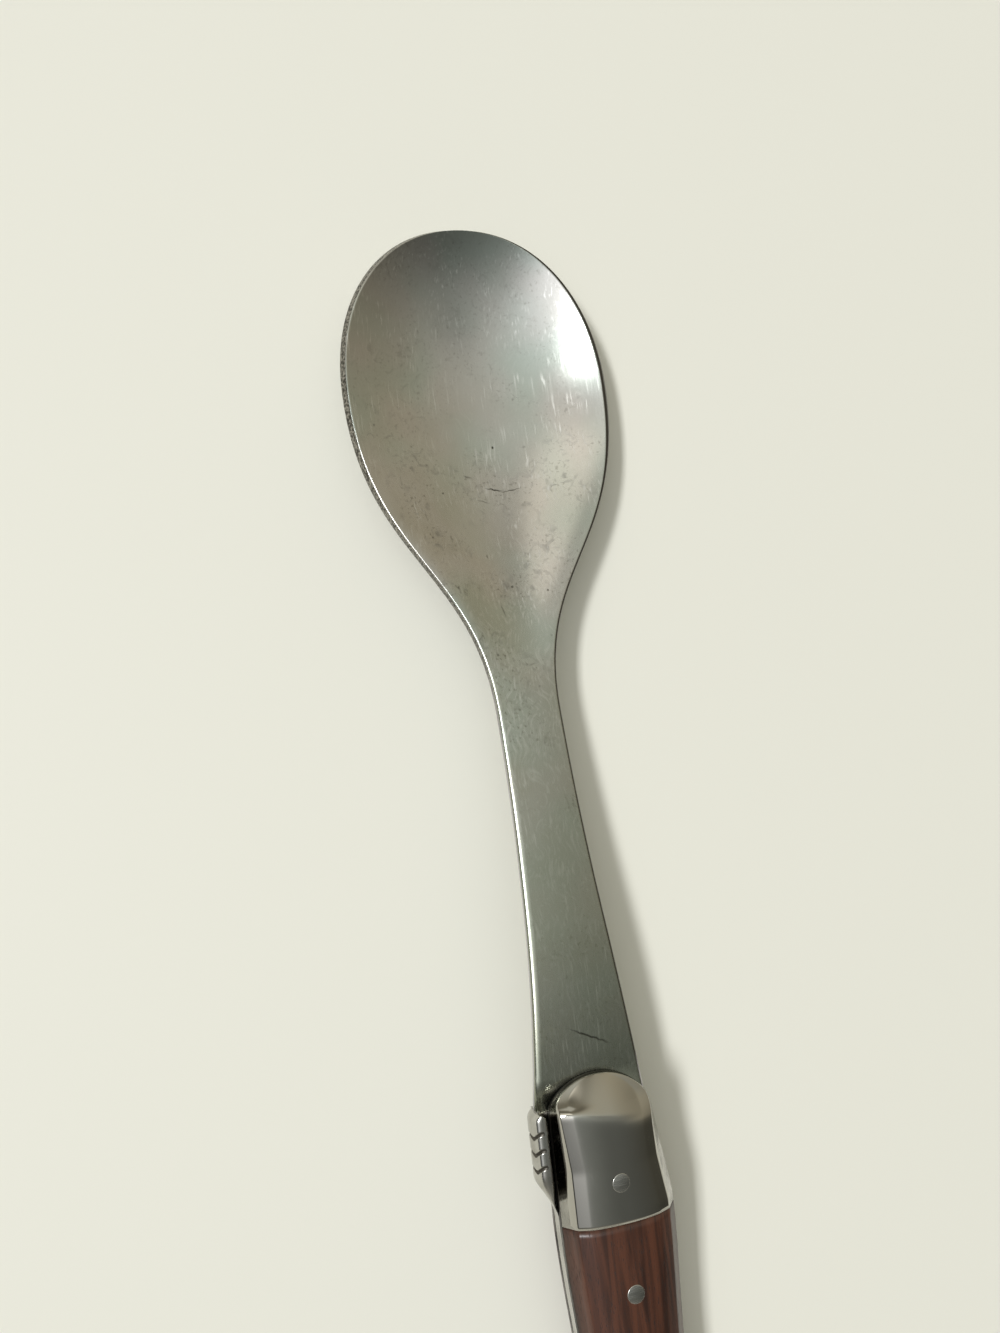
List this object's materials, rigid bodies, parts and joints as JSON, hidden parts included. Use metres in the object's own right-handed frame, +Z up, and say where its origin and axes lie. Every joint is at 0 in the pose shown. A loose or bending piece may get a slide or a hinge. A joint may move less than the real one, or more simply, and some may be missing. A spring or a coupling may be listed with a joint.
{
  "type": "salad serving spoon",
  "caption": "Salad serving spoon with a pressed oval bowl, a flat flared shaft and a riveted handle: bolsters, wooden scales and a filed back spring.",
  "frame": {"origin": "on the table under the middle of the spoon's box, with the spoon lying on the underside of the bowl and of the butt", "axes": "+X along the spoon to the tip of the bowl, +Y to the back spring, +Z up, out of the open side of the bowl"},
  "size_m": [0.255, 0.0516, 0.021],
  "materials": {
    "satin_steel": "tumbled and satin polished stainless sheet",
    "polished_steel": "mirror polished stainless steel",
    "dark_wood": "oiled dark hardwood",
    "pin_steel": "ground flush and polished"
  },
  "bodies": {
    "root": {"spoon_head": "satin_steel", "back_spring": "polished_steel", "upper_liner": "polished_steel", "lower_liner": "polished_steel", "upper_bolster": "polished_steel", "lower_bolster": "polished_steel", "upper_scale": "dark_wood", "lower_scale": "dark_wood", "bolster_pin": "pin_steel", "front_scale_pin": "pin_steel", "middle_scale_pin": "pin_steel", "rear_scale_pin": "pin_steel"}
  },
  "joints": []
}
